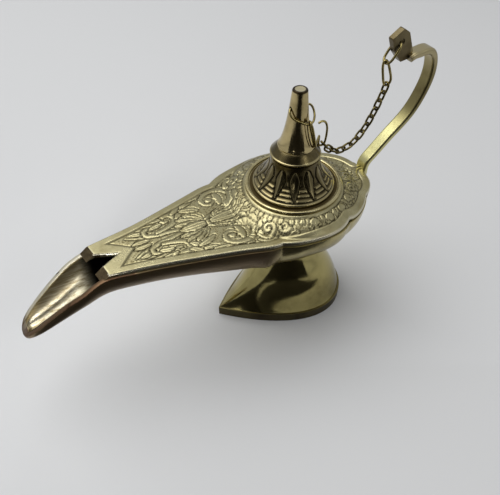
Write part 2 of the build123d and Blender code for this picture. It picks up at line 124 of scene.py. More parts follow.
def spinProfile(name, profile, steps):  # a turned piece, its outline spun round the upright axis
    mesh = bpy.data.meshes.new(name)
    mesh.from_pydata([(r * mm, 0, z * mm) for r, z in profile], [(n, n + 1) for n in range(len(profile) - 1)], [])
    turned = bpy.data.objects.new(name, mesh)
    bpy.context.collection.objects.link(turned)
    editAll(turned)
    bpy.ops.mesh.spin(steps=steps, angle=2 * math.pi, center=(0, 0, 0), axis=(0, 0, 1))
    setMode(mode="OBJECT")
    weld(turned)
    return turned


def finishPiece(obj, name, body, replaced, angle):
    obj.name = obj.data.name = name
    weld(obj)
    faceOutwards(obj)
    bpy.ops.object.shade_smooth_by_angle(angle=math.radians(angle))
    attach(obj, body)
    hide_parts(*replaced)
    obj.select_set(False)
    print(name, "has", len(obj.data.polygons), "faces")


# top plate: cast cover with a chased scroll pattern, a domed middle and a notch at the spout

plateShape = {
    "front": -75.4,
    "rear": 31.5,
    "top": 57.0,
    "bottom": 55.4,
    "outline": [(-75.4, 8.2), (-60, 10.9), (-45, 14.7), (-30, 18.9), (-15, 23.7),
                (0, 26.0), (13, 22.7), (23, 16.4), (29.6, 9.4), (32.4, 0)],
    "outlineSteps": 24,
    "scallopsNear": [-17.0, 10.5, 24.0],
    "scallopsFar": [-26.0, 2.0, 20.0],
    "scallopReach": 7.0,
    "scallopDepth": 1.15,
    "scallopPower": 2.2,
    "notchApex": -68.1,
    "notchHalfWidth": 3.3,
    "frontSkew": -0.178,
    "skewEnd": -58.0,
    "endSlopeReach": 2.8,
    "endSlopeDrop": 0.9,
    "domeRadius": 25.5,
    "domeMiddle": (21.75, 2.48),
    "seatRadius": 18.0,
    "seatRise": 4.0,
    "holeRadius": 15.0,
    "edgeRound": 0.5,
    "edgeDrop": 0.35,
    "edgeSteps": 160,
    "along": 340,
    "across": 144,
    "smoothAngle": 70,
    # the chased field
    "border": 3.0, "borderLine": 0.34, "borderLineGap": 0.1, "borderLineWidth": 0.28,
    "ground": -0.17, "groundStart": -0.05, "groundStep": 0.5, "groundBand": (0.02, 0.08),
    "outlineDepth": 0.3, "outlineWidth": 0.15, "outlineGap": 0.12, "outlineReach": 0.42, "strokeMargin": 0.9,
    "crown": 0.09, "veinWidth": 0.16,
    "cutReach": 4.0, "cutWidth": 0.15, "cutOver": 0.04,
    "vApex": -62.5, "vSlope": 0.86, "seatLine": 18.9,
    "grooveDepths": (0.17, 0.45), "grooveInset": 0.8, "undersideShade": 0.9, "wearReach": 0.55,
    # leaves, curls and stems
    "leafPlaces": 9, "toothPlaces": 6, "toothDepth": 0.3,
    "leafSpan": (0.1, 0.97), "leafPower": 0.75, "leafLeast": 0.08,
    "curlPlaces": 26, "curlShrink": 0.78, "curlThin": 0.3, "stemSteps": 6,
    "ribs": range(4, 32, 2), "ribReach": 0.9, "ribLean": 0.5, "ribDepth": 0.2,
    "seatLeafRadius": 19.2, "domeLeafRadius": 19.3, "domeCurlRadius": 18.8,
    # the cut edges
    "uprightRise": 1.0, "holeMargin": 3.0, "endFacing": -0.2, "endTilt": 0.8, "endPlace": -74.0,
}


def scallopDip(places, side):  # the edge draws in at each scallop, further apart on one side than the other
    dip = np.zeros(len(places))
    for place in plateShape["scallopsFar" if side > 0 else "scallopsNear"]:
        near = np.clip(1 - np.abs(places - place) / plateShape["scallopReach"], 0, 1)
        dip += near ** plateShape["scallopPower"]
    return plateShape["scallopDepth"] * dip


def plateHalfWidth(places, side):
    line = smoothLine(plateShape["outline"], plateShape["outlineSteps"])
    return np.interp(places, line[:, 0], line[:, 1]) - scallopDip(places, side)


def domeRise(radius):  # height over the flat of the plate
    outer, rise = plateShape["domeRadius"], plateShape["seatRise"]
    middle, bulge = plateShape["domeMiddle"]
    inner = plateShape["seatRadius"]
    corners = np.array([[outer, 0], [middle, bulge], [inner, rise]])
    sides = 2 * (corners[1:] - corners[0])
    squares = (corners[1:] ** 2).sum(axis=1) - (corners[0] ** 2).sum()
    centre = np.linalg.solve(sides, squares)
    reach = np.hypot(*(corners[0] - centre))
    inside = np.sqrt(np.maximum(reach ** 2 - (np.clip(radius, inner, outer) - centre[0]) ** 2, 0))
    height = centre[1] + math.copysign(1, bulge - centre[1]) * inside
    return np.where(radius > outer, 0, np.where(radius < inner, rise, height))


def lineGap(px, py, line, halfWidths):  # gap to a tapered line, below zero inside it
    gap = np.full(px.shape, 1e3)
    for (ax, ay), (bx, by), wide, wideNext in zip(line, line[1:], halfWidths, halfWidths[1:]):
        dx, dy = bx - ax, by - ay
        share = np.clip(((px - ax) * dx + (py - ay) * dy) / max(dx * dx + dy * dy, 1e-9), 0, 1)
        away = np.hypot(px - ax - share * dx, py - ay - share * dy)
        gap = np.minimum(gap, away - wide - share * (wideNext - wide))
    return gap


def chase(height, px, py, line, halfWidths, vein):  # raises one leaf or stem and sinks its outline
    shape = plateShape
    widest = max(halfWidths)
    reach = widest + shape["strokeMargin"]
    low, high = line.min(axis=0) - reach, line.max(axis=0) + reach
    near = (px > low[0]) & (px < high[0]) & (py > low[1]) & (py < high[1])
    gap = lineGap(px[near], py[near], line, halfWidths)
    groove = hump(gap, shape["outlineGap"], shape["outlineWidth"])
    outline = shape["ground"] - shape["outlineDepth"] * groove
    crown = -shape["crown"] * (1 - np.clip(-gap / widest, 0, 1)) ** 2
    around = np.where(gap < shape["outlineReach"], np.minimum(height[near], outline), height[near])
    raised = np.where(gap < 0, crown, around)
    if vein:
        middle = lineGap(px[near], py[near], line, np.zeros(len(line)))
        raised = np.where(gap < 0, raised - vein * hump(middle, 0, shape["veinWidth"]), raised)
    height[near] = raised


def cutLine(height, px, py, line, depth):  # a fine line cut into what is already raised
    shape = plateShape
    awayX, awayY = np.abs(px - line[:, 0].mean()), np.abs(py - line[:, 1].mean())
    near = (awayX < shape["cutReach"]) & (awayY < shape["cutReach"])
    gap = lineGap(px[near], py[near], line, np.zeros(len(line)))
    onRaised = height[near] > shape["ground"] + shape["cutOver"]
    height[near] -= depth * hump(gap, 0, shape["cutWidth"]) * onRaised


def leafStroke(start, angle, length, halfWidth, bend, teeth=0):  # pointed leaf on a bent rib, plain or ragged
    shape = plateShape
    run = polar(1, angle)
    side = np.array([-run[1], run[0]])
    count = shape["leafPlaces"] + shape["toothPlaces"] * teeth
    share = np.linspace(0, 1, count)
    along = share[:, None]
    line = np.array(start) + length * (along * run + bend * along * along * side)
    ragged = 1 - shape["toothDepth"] * ((teeth * share) % 1)
    swell = np.sin(np.pi * np.linspace(*shape["leafSpan"], count)) ** shape["leafPower"]
    return line, halfWidth * ragged * swell + shape["leafLeast"]


def curlStroke(centre, radius, start, turns, halfWidth):  # a stem rolled up to its eye
    share = np.linspace(0, 1, plateShape["curlPlaces"])
    turn = math.radians(start) + 2 * np.pi * turns * share
    shrink = radius * (1 - plateShape["curlShrink"] * share)
    line = np.c_[centre[0] + shrink * np.cos(turn), centre[1] + shrink * np.sin(turn)]
    return line, halfWidth * (1 - plateShape["curlThin"] * share)


def stemStroke(places, widths):  # a band through chosen places, its half widths spread along it
    line = smoothLine(places, plateShape["stemSteps"])
    return line, np.interp(np.linspace(0, 1, len(line)), np.linspace(0, 1, len(widths)), widths)


def scrollPattern():  # one side of the plate, drawn for y above zero: raised strokes, then cut lines
    shape = plateShape
    strokes, cuts = [], []

    def add(stroke, vein=0.0):
        strokes.append((*stroke, vein))

    def addLeaves(rows, halfWidth, teeth, vein):
        for start, angle, length, bend in rows:
            add(leafStroke(start, angle, length, halfWidth, bend, teeth), vein)

    # small leaves that fill the ground first
    addLeaves([((-41.5, 10.6), 200, 6.0, 0.1), ((-37.0, 12.4), 195, 5.5, -0.1), ((-25.0, 16.2), 200, 5.0, 0.1),
               ((-56.0, 6.8), 190, 5.0, -0.1), ((-20.6, 6.6), 100, 4.4, 0.2), ((-21.6, 1.4), 20, 3.0, 0.1),
               ((-43.0, 5.6), 60, 4.0, 0.2), ((-59.4, 1.4), 175, 2.6, 0.0), ((-46.8, 1.6), 150, 4.6, 0.1),
               ((-25.2, 2.0), 30, 4.0, 0.2)], 0.85, 0, 0.12)
    # leaves in the point, behind the notch
    addLeaves([((-57.2, 1.0), 172, 5.6, 0.12), ((-57.4, 2.6), 150, 7.0, 0.12), ((-56.8, 4.6), 160, 6.0, 0.12)],
              1.0, 2, 0.14)
    # front scrolls and their leaves
    add(stemStroke([(-45.6, 0.8), (-49.8, 1.6), (-53.8, 2.0), (-57.2, 3.4), (-57.2, 5.8), (-54.9, 6.3), (-53.8, 4.9)],
                   [0.7, 0.95, 0.9, 0.75, 0.5]))
    add(stemStroke([(-53.2, 3.0), (-49.6, 3.8), (-46.0, 5.4), (-45.2, 8.4), (-47.4, 9.9), (-49.9, 8.8), (-49.6, 7.0),
                    (-48.0, 7.0)], [0.7, 1.05, 1.1, 0.85, 0.6]))
    addLeaves([((-50.2, 8.8), 165, 6.2, 0.15), ((-50.8, 6.4), 178, 4.4, 0.25), ((-45.4, 9.6), 30, 4.6, 0.2),
               ((-44.4, 7.0), 48, 4.2, -0.2)], 1.1, 3, 0.14)
    # ragged leaf in the middle
    for angle, length in [(104, 6.2), (124, 8.4), (143, 9.8), (160, 10.0), (176, 8.6)]:
        add(leafStroke((-36.6, 0.5), angle, length, 1.55, 0.1, 4), 0.18)
    # feathered leaf along the border
    add(leafStroke((-32.6, 14.2), 186, 9.0, 1.25, -0.1, 5), 0.16)
    add(leafStroke((-36.2, 7.4), 150, 6.4, 1.35, 0.2, 4), 0.16)
    # great scroll: a broad ribbed arm that rolls up round a disc, with a plain leaf inside
    add(leafStroke((-27.4, 7.0), 70, 6.0, 1.4, 0.35), 0.0)
    arm = stemStroke([(-35.4, 1.8), (-30.6, 3.7), (-26.0, 5.0), (-22.3, 8.0), (-22.2, 11.8), (-25.4, 14.3),
                      (-29.8, 14.2), (-32.9, 11.9), (-32.7, 9.0), (-30.5, 7.9), (-28.8, 9.2)],
                     [0.5, 1.05, 1.35, 1.3, 1.1, 1.0, 0.9, 0.8, 0.7, 0.6])
    add(arm)
    armLine, armWidths = arm
    for n in shape["ribs"]:
        middle, ahead = armLine[n], armLine[n + 1] - armLine[n]
        along = ahead / np.hypot(*ahead)
        half = np.array([-along[1], along[0]]) * armWidths[n] * shape["ribReach"]
        lean = along * shape["ribLean"]
        cuts.append((np.array([middle - half - lean, middle + half + lean]), shape["ribDepth"]))
    add(curlStroke((-30.4, 10.2), 0.5, 0, 1.0, 0.95))
    # palm spray between the two great scrolls
    for angle, length in [(50, 5.6), (36, 8.0), (22, 9.6), (8, 10.6)]:
        add(leafStroke((-33.6, 0.5), angle, length, 1.05, -0.08), 0.18)
    # scrolls and ragged leaves at the shoulder, beside the dome
    addLeaves([((-23.0, 16.4), 32, 6.4, -0.15), ((-16.4, 19.2), 22, 6.6, -0.1), ((-21.4, 4.6), 70, 5.0, 0.2),
               ((-19.6, 10.4), 118, 4.4, 0.2)], 1.1, 3, 0.15)
    add(curlStroke((-18.6, 14.6), 3.0, 200, -1.3, 0.85))
    add(curlStroke((-13.6, 17.2), 2.2, 20, 1.3, 0.7))
    # leaf ring against the seat
    for angle in range(100, 180, 11):
        add(leafStroke(polar(shape["seatLeafRadius"], angle), angle, 2.0, 0.85, 0.0), 0.14)
    # curls and leaves round the dome
    for count, angle in enumerate(range(100, 0, -18)):
        room = 4.6 + 4.2 * eased(0, 1, (60 - angle) / 60)
        side = 1 if count % 2 else -1
        between = angle - 9
        start = polar(shape["domeLeafRadius"], between)
        for lean in (-48, 20):
            add(leafStroke(start, between + lean * side, room * 0.75, 0.95, 0.2 * side, 2), 0.15)
        centre = polar(shape["domeCurlRadius"] + room * 0.48, angle)
        for lean in (-62, 0, 62):
            add(leafStroke(centre, angle + lean, room * 0.55, 0.8, 0.15 * side), 0.12)
        add(curlStroke(centre, room * 0.3, angle + 90 * side, 1.3 * side, 0.6))
    # flower behind the lid
    for angle in range(0, 360, 60):
        add(leafStroke((24.6, 0.01), angle, 2.6, 0.95, 0.0), 0.12)
    return strokes, cuts


def buildTopPlate():
    shape = plateShape
    plate, u, v, isTop = addSheets(shape["along"], shape["across"])

    # bend the sheets to the plate's outline, with the notch between its two prongs
    x = shape["front"] + u * (shape["rear"] - shape["front"])
    width = np.where(v > 0, plateHalfWidth(x, 1), plateHalfWidth(x, -1))
    apex = shape["notchApex"]
    firstRow = 2 / shape["across"]
    notch = shape["notchHalfWidth"] * np.clip((apex - x) / (apex - shape["front"]), 0, 1)
    inPoint = x < apex - tiny
    prong = notch + (np.abs(v) - firstRow) / (1 - firstRow) * (width - notch)
    y = np.sign(v) * np.maximum(np.where(inPoint, prong, np.abs(v) * width), 0)
    skew = shape["frontSkew"] * y * (1 - eased(shape["front"], shape["skewEnd"], x))
    folded, radius = np.abs(y), np.hypot(x, y)

    # gap to the outer edge and to the notch
    count = shape["edgeSteps"]
    steps = np.linspace(shape["front"], shape["rear"], count)
    sideGaps = [lineGap(x, folded, np.c_[steps, plateHalfWidth(steps, side)], np.zeros(count)) for side in (-1, 1)]
    edgeGap = np.where(y > 0, sideGaps[1], sideGaps[0])
    vGap = (x - shape["vApex"] + folded / shape["vSlope"]) * math.sin(math.atan(shape["vSlope"]))
    notchLine = np.array([(apex, 0), (shape["front"], shape["notchHalfWidth"]),
                          (shape["front"], shape["outline"][0][1])])
    rimGap = np.minimum(edgeGap, lineGap(x, folded, notchLine, np.zeros(len(notchLine))))

    # the chased field lies lower than the plain border
    height = np.full(len(x), shape["ground"])
    strokes, cuts = scrollPattern()
    for line, widths, vein in strokes:
        chase(height, x, folded, line, widths, vein)
    for line, depth in cuts:
        cutLine(height, x, folded, line, depth)
    fieldGap = np.minimum(np.minimum(edgeGap - shape["border"], vGap), radius - shape["seatLine"])
    inField = eased(shape["groundStart"], shape["groundStep"], fieldGap)
    rimLine = shape["borderLine"] * hump(fieldGap, shape["borderLineGap"], shape["borderLineWidth"])
    height = height * inField - rimLine
    height -= shape["edgeDrop"] * (1 - eased(0, shape["edgeRound"], rimGap))
    plain = domeRise(radius)
    z = np.where(isTop, shape["top"] + plain + height, shape["bottom"] + plain)

    # the prongs end in a slope down to the spout
    slopeFoot = (u < tiny) & ~isTop
    x = x + skew
    x = np.where(slopeFoot, x - shape["endSlopeReach"], x)
    z = np.where(slopeFoot, z - shape["endSlopeDrop"], z)
    writePoints(plate, np.c_[x, y, z])
    # the groove mask: dark film in the sunk lines on top, and painted shade over the whole underside, which darkens the
    # side faces and the prong ends towards their lower edge
    sunk = eased(*shape["grooveDepths"], -height) * (edgeGap > shape["grooveInset"])
    paint(plate, "groove", np.where(isTop, sunk, shape["undersideShade"]))
    paint(plate, "wear", np.where(isTop, 1 - eased(0.0, shape["wearReach"], rimGap), 0))
    onGround = 1 - eased(*shape["groundBand"], np.abs(height - shape["ground"]))
    paint(plate, "ground", np.where(isTop, inField * onGround, 0))

    # open the notch and the hole under the seat ring
    setMode(mode="EDIT")
    bpy.ops.mesh.select_all(action="DESELECT")
    bpy.ops.mesh.select_mode(type="FACE")
    setMode(mode="OBJECT")
    opened = ((np.abs(v) < firstRow / 2) & inPoint) | (radius < shape["holeRadius"])
    for face in plate.data.polygons:
        face.select = bool(opened[list(face.vertices)].any())
    setMode(mode="EDIT")
    bpy.ops.mesh.delete(type="FACE")
    bpy.ops.mesh.select_mode(type="EDGE")
    for place in ("hole", "notch"):
        bpy.ops.mesh.select_all(action="DESELECT")
        bpy.ops.mesh.select_non_manifold(extend=False, use_boundary=True, use_wire=False,
                                         use_multi_face=False, use_non_contiguous=False, use_verts=False)
        setMode(mode="OBJECT")
        now = readPoints(plate)
        for edge in plate.data.edges:
            first, second = now[edge.vertices[0]], now[edge.vertices[1]]
            upright = abs(first[2] - second[2]) > shape["uprightRise"]
            atHole = np.hypot(*first[:2]) < shape["holeRadius"] + shape["holeMargin"]
            edge.select = bool(edge.select and not upright and atHole == (place == "hole"))
        setMode(mode="EDIT")
        bpy.ops.mesh.bridge_edge_loops()
    setMode(mode="OBJECT")

    # faces that look forward at the prong ends get a darker copy of the brass: painted shade
    for face in plate.data.polygons:  # the cut ends of the prongs are left dark
        isEnd = face.normal.x < shape["endFacing"] and face.normal.z < shape["endTilt"]
        face.material_index = int(isEnd and face.center.x < shape["endPlace"] * mm)
    return plate


topPlate = buildTopPlate()
finishPiece(topPlate, "topPlate", "lamp", ["top_plate"], plateShape["smoothAngle"])


# lid: a cast bell with pointed petals, three bars between each pair, and a turned bead on top

lidShape = {
    "profile": [(11.9, 58.65), (12.7, 58.65), (12.7, 61.65), (14.9, 61.65), (15.2, 61.85), (15.2, 62.45),
                (15.0, 62.75)],
    "bellFoot": (14.9, 62.85),
    "bellMiddle": (10.25, 68.52),
    "bellTop": (8.8, 74.3),
    "bellRows": 56,
    "bead": [(8.3, 74.5), (8.15, 74.7), (8.8, 74.9), (9.05, 75.2), (9.05, 75.6), (8.75, 75.85), (8.0, 76.7),
             (7.2, 77.6), (6.6, 78.2)],
    "beadSteps": 4,
    "inside": [(2.05, 78.2), (2.05, 75.4), (6.6, 75.4), (6.6, 74.4), (8.0, 68.5), (11.9, 62.65)],
    "steps": 288,
    "smoothAngle": 60,
    "petals": 12,
    "petalTip": 63.3,
    "petalShoulder": 69.2,
    "petalTop": 72.6,
    "petalHalfTurn": 10.4,
    "petalPower": 0.8,
    "petalRise": 0.22, "petalShares": (0.55, 0.45), "ridgeWidth": 0.35,
    "petalLine": 0.34, "petalLineGap": 0.12, "petalLineWidth": 0.26, "petalLineEnds": (0.4, 0.3),
    "bars": [63.75, 65.0, 66.25],
    "barHalf": 0.34, "barFade": (0.55, 1.5), "barInset": 0.42, "barRise": 0.3,
    "hollowDepth": 0.22, "hollowInset": 0.2, "hollowOver": 0.7,
    "archDepth": 0.2, "archOver": 1.0, "archWidth": 0.25,
    "bellBand": 0.05, "bellMargin": 0.01,
    # film in the hollows, painted shade on the plug down in the seat, wear on the raised parts, the bead and the rim
    "filmRise": (0.02, -0.3), "plugRadius": 12.75, "plugTop": 62.0,
    "wearRise": (0.08, 0.3), "wearShare": 0.8, "beadRadius": 8.7, "beadFoot": 74.8, "rimRadius": 15.1, "rimBand": 0.3,
}


def buildLid():
    shape = lidShape
    foot, middle, top = (np.array(shape[key]) for key in ("bellFoot", "bellMiddle", "bellTop"))
    share = np.linspace(0, 1, shape["bellRows"])[:, None]
    control = 2 * middle - (foot + top) / 2
    bell = (1 - share) ** 2 * foot + 2 * share * (1 - share) * control + share ** 2 * top
    bead = smoothLine(shape["bead"], shape["beadSteps"])
    profile = np.vstack([shape["profile"], bell, bead, shape["inside"], shape["profile"][:1]])
    lid = spinProfile("bellLid", profile, shape["steps"])

    # raise the petals on the outside of the bell, and sink a line round each
    places = readPoints(lid)
    radius, z = np.hypot(places[:, 0], places[:, 1]), places[:, 2]
    turn = np.degrees(np.arctan2(places[:, 1], places[:, 0]))
    pitch = 360 / shape["petals"]
    fromPetal = np.abs((turn + pitch / 2) % pitch - pitch / 2)
    bellRadius = np.interp(z, bell[:, 1], bell[:, 0])
    onBell = (np.abs(radius - bellRadius) < shape["bellBand"]) & (z > foot[1] - shape["bellMargin"]) & (z < top[1])
    tip, shoulder, end = shape["petalTip"], shape["petalShoulder"], shape["petalTop"]
    rising = np.clip((z - tip) / (shoulder - tip), 0, 1)
    closing = np.clip((end - z) / (end - shoulder), 0, 1)
    halfTurn = shape["petalHalfTurn"] * np.minimum(rising ** shape["petalPower"], np.sqrt(closing))
    petalGap = (fromPetal - halfTurn) * np.pi / 180 * bellRadius
    inPetal = (petalGap < 0) & (z > tip) & (z < end)
    ridge = hump(fromPetal * np.pi / 180 * bellRadius, 0, shape["ridgeWidth"])
    below, above = shape["petalLineEnds"]
    line = hump(petalGap, shape["petalLineGap"], shape["petalLineWidth"]) * (z > tip - below) * (z < end + above)
    side, crown = shape["petalShares"]
    rise = np.where(inPetal, shape["petalRise"] * (side + crown * ridge), 0) - shape["petalLine"] * line

    # three bars between each pair, with an arched line over the highest
    barGap = np.min([np.abs(z - bar) for bar in shape["bars"]], axis=0)
    solid, faded = (shape["barHalf"] * part for part in shape["barFade"])
    onBar = (1 - eased(solid, faded, barGap)) * (petalGap > shape["barInset"])
    highest, offPetal = shape["bars"][-1], petalGap > shape["hollowInset"]
    between = offPetal & (z < highest + shape["hollowOver"])
    rise = np.where(between, shape["barRise"] * onBar - shape["hollowDepth"] * (1 - onBar), rise)
    arch = hump(z - highest, shape["archOver"], shape["archWidth"]) * offPetal
    rise = (rise - shape["archDepth"] * arch) * onBell
    grow = 1 + rise / np.maximum(radius, 1)
    writePoints(lid, np.c_[places[:, 0] * grow, places[:, 1] * grow, z])
    # the plug, down in the seat ring, is darkened with the film: painted shade
    onPlug = (radius < shape["plugRadius"]) & (z < shape["plugTop"])
    paint(lid, "groove", np.clip(eased(*shape["filmRise"], rise) + onPlug, 0, 1))
    onBead = (radius > shape["beadRadius"]) & (z > shape["beadFoot"])
    onRim = np.abs(radius - shape["rimRadius"]) < shape["rimBand"]
    paint(lid, "wear", shape["wearShare"] * eased(*shape["wearRise"], rise) + onBead + onRim * shape["wearShare"])
    return lid


bellLid = buildLid()
finishPiece(bellLid, "bellLid", "lid", ["lid"], lidShape["smoothAngle"])


# bowl: one boat-shaped casting that runs out into the open spout, filed along its edges

bowlShape = {
    "rim": 55.4,
    "stations": [(-106.0, 1.0, 18.9, 1.2), (-105.6, 2.4, 18.5, 2.4), (-104.6, 3.9, 17.5, 3.7), (-102.6, 5.2, 15.9, 4.9),
                 (-100.0, 6.1, 13.8, 6.4), (-97.0, 6.8, 11.4, 7.8),
                 (-91.0, 7.9, 7.2, 9.6), (-84.0, 9.1, 3.3, 10.6), (-75.4, 8.8, 0.0, 12.2), (-65.0, 10.4, 0.0, 12.8),
                 (-55.0, 12.6, 0.0, 14.0), (-45.0, 15.2, 0.0, 15.8), (-37.5, 17.2, 0.0, 17.6), (-30.0, 19.4, 0.0, 19.2),
                 (-22.5, 21.9, 0.0, 20.1), (-15.0, 24.2, 0.0, 20.4), (-7.5, 25.9, 0.0, 20.4), (0.0, 26.5, 0.0, 20.4),
                 (7.0, 25.6, 0.0, 20.2), (13.0, 23.2, 0.0, 19.8), (23.0, 16.9, 0.0, 16.8), (31.5, 7.0, 0.0, 10.0)],
    "stationSteps": 10,
    "columnEase": (0.45, 0.55),
    "wall": 2.0,
    "spoutWall": 1.8,
    "tipLip": 2.1,
    "rearWall": 2.5,
    "along": 400,
    "around": 64,
    "capColumns": 6,
    "sidePower": 1.4,
    "bossPlace": -21.5, "bossRise": 1.5, "bossReach": 2.8, "bossFade": (0.8, 1.0),
    "grindShare": 0.16, "grindPitch": 1.4,
    "edgeBevel": 0.22, "bevelSteps": 2, "edgeBand": 0.3, "edgeEnd": -66.0, "tipMargin": 0.5,
    "smoothAngle": 50,
    # where soot, painted shade, grime and filed metal begin and end: along the bowl, or as a share of the way up its
    # side
    "rimShare": 0.9985, "troughEnd": -70.0, "sootAlong": (-87, -77),
    "shadeShare": 0.6, "shadeSide": (0.5, 0.95), "shadeAlong": (-103, -96),
    "wallShade": 0.8, "wallShadeSide": (0.55, 0.9),
    "grimeAhead": (14, 24), "grimeUpper": (0.1, 0.6),
    "rimBand": 0.26, "brownAlong": (-102.5, -104.5), "tipBrown": 0.7, "tipBrownAlong": (-103, -105.5),
}


def buildBowl():
    shape = bowlShape
    bowl, u, v, inside = addSheets(shape["along"], shape["around"])
    column, turn = u * shape["along"], (v + 1) / 2 * math.pi
    nearness = np.cos(turn)  # 1 at the near rim, -1 at the far rim

    # the sheets follow the stations, and close at the tip and at the rear
    caps = shape["capColumns"]
    share = np.clip((column - caps) / (shape["along"] - 2 * caps), 0, 1)
    closing = np.clip(np.minimum(column, shape["along"] - column) / caps, 0, 1)
    tip, rear = shape["stations"][0][0], shape["stations"][-1][0]
    start = np.where(inside, tip + shape["tipLip"], tip)
    end = np.where(inside, rear - shape["rearWall"], rear)
    even, late = shape["columnEase"]
    x = start + (even * share + late * share ** 2) * (end - start)
    line = smoothLine(shape["stations"], shape["stationSteps"])
    width, drop, depth = (np.interp(x, line[:, 0], line[:, n]) for n in (1, 2, 3))
    wall = np.where(inside, np.where(x < plateShape["front"], shape["spoutWall"], shape["wall"]), 0)
    dip = np.where(nearness < 0, scallopDip(x, 1), scallopDip(x, -1))
    upper = np.abs(nearness) ** shape["sidePower"]
    boss = shape["bossRise"] * hump(x, shape["bossPlace"], shape["bossReach"]) * (nearness > 0)
    grind = 1 + shape["grindShare"] * np.sin(2 * math.pi * x / shape["grindPitch"])
    boss *= upper * (1 - eased(*shape["bossFade"], upper)) * grind
    reach = closing * (width - wall + np.where(inside, 0, boss - dip * upper))
    y = -nearness * reach
    z = shape["rim"] - drop - np.sin(turn) * closing * (depth - wall)
    writePoints(bowl, np.c_[x, y, z])

    # soot and painted shade in the throat and under the plate, painted shade on the trough's far and near walls, grime
    # on the unpolished side, and a painted sheen over the trough
    inTrough, atRim = x < shape["troughEnd"], np.abs(nearness) > shape["rimShare"]
    shade = shape["shadeShare"] * eased(*shape["shadeSide"], -nearness) * eased(*shape["shadeAlong"], x)
    soot = np.maximum(eased(*shape["sootAlong"], x), shade * inTrough)
    paint(bowl, "soot", np.where(inside & ~atRim, soot, 0))
    # painted shade on the trough's near wall, brown like the grime outside
    nearWall = shape["wallShade"] * eased(*shape["wallShadeSide"], nearness) * inTrough
    rawSide = eased(*shape["grimeAhead"], -x) * eased(*shape["grimeUpper"], upper)
    paint(bowl, "grime", np.where(inside, nearWall, rawSide))
    paint(bowl, "trough", inside & ~atRim & inTrough)

    def fromRim(points):
        return np.abs(points[:, 2] - np.interp(points[:, 0], line[:, 0], shape["rim"] - line[:, 2]))

    # break the spout's sharp edges
    weld(bowl)
    setMode(mode="EDIT")
    bpy.ops.mesh.select_all(action="DESELECT")
    bpy.ops.mesh.select_mode(type="EDGE")
    setMode(mode="OBJECT")
    now = readPoints(bowl)
    ahead = (now[:, 0] < shape["edgeEnd"]) & (now[:, 0] > tip + shape["tipMargin"])
    onEdge = (fromRim(now) < shape["edgeBand"]) & ahead
    for edge in bowl.data.edges:
        first, second = edge.vertices
        along = abs(now[first][0] - now[second][0]) > abs(now[first][1] - now[second][1])
        edge.select = bool(onEdge[first] and onEdge[second] and along)
    setMode(mode="EDIT")
    bpy.ops.mesh.bevel(offset=shape["edgeBevel"] * mm, segments=shape["bevelSteps"], affect="EDGES")
    setMode(mode="OBJECT")

    # the far rim is filed bright, the near rim and the tip stay brown
    now = readPoints(bowl)
    onRim = (fromRim(now) < shape["rimBand"]) & (now[:, 0] < shape["edgeEnd"])
    brownRim = np.maximum(now[:, 1] < 0, eased(*shape["brownAlong"], now[:, 0])) * onRim
    brownTip = shape["tipBrown"] * eased(*shape["tipBrownAlong"], now[:, 0])
    paint(bowl, "edge", onRim * (1 - brownRim))
    paint(bowl, "rimGrime", np.maximum(brownRim, brownTip))
    return bowl


bowlShell = buildBowl()
finishPiece(bowlShell, "bowlShell", "lamp", ["bowl"], bowlShape["smoothAngle"])


# finial: a turned cone with a flat top, drilled across for the wire loop

finialShape = {
    "shank": [(0, 70.2), (2.0, 70.2), (2.0, 78.2), (6.2, 78.2)],
    "cone": [(6.55, 78.35), (6.5, 78.8), (5.95, 79.7), (5.2, 81.8), (4.5, 84.6), (3.95, 87.6), (3.5, 90.8), (3.1, 94.2),
             (2.75, 97.6), (2.6, 98.9)],
    "top": [(2.5, 99.2), (2.25, 99.4), (1.9, 99.38), (1.5, 99.25), (0, 99.2)],
    "coneSteps": 5,
    "steps": 96,
    "holeRadius": 0.8, "holeHeight": 93.0, "drillLength": 16.0, "drillSides": 32,
    "smoothAngle": 40,
}


def buildFinial():
    shape = finialShape
    profile = np.vstack([shape["shank"], smoothLine(shape["cone"], shape["coneSteps"]), shape["top"]])
    cone = spinProfile("finialCone", profile, shape["steps"])
    faceOutwards(cone)
    bpy.ops.mesh.primitive_cylinder_add(vertices=shape["drillSides"], radius=shape["holeRadius"] * mm,
                                        depth=shape["drillLength"] * mm, location=(0, 0, shape["holeHeight"] * mm),
                                        rotation=(0, math.pi / 2, 0))
    drill = bpy.context.object
    pick(cone)
    cut = cone.modifiers.new("drill", "BOOLEAN")
    cut.operation, cut.object, cut.solver = "DIFFERENCE", drill, "EXACT"
    bpy.ops.object.modifier_apply(modifier="drill")
    bpy.data.objects.remove(drill)
    return cone


finialCone = buildFinial()
finishPiece(finialCone, "finialCone", "lid", ["finial"], finialShape["smoothAngle"])


# chain: links bent from round wire, each an oval where its plain link lies, the long one pear-shaped

wireShape = {
    "linkNames": ["lug_link", "pear_link"] + ["chain_link_%02d" % number for number in range(1, 14)],
    "fullness": {"lug_link": 0.9, "pear_link": 1.0}, "chainFullness": 0.95,
    "taper": {"pear_link": (0.92, 0.23)},
    "ringRadius": 10.0,
    "steps": 44,
    "wireSteps": 14,
    "smallTurn": 0.01,
    "smoothAngle": 60,
}


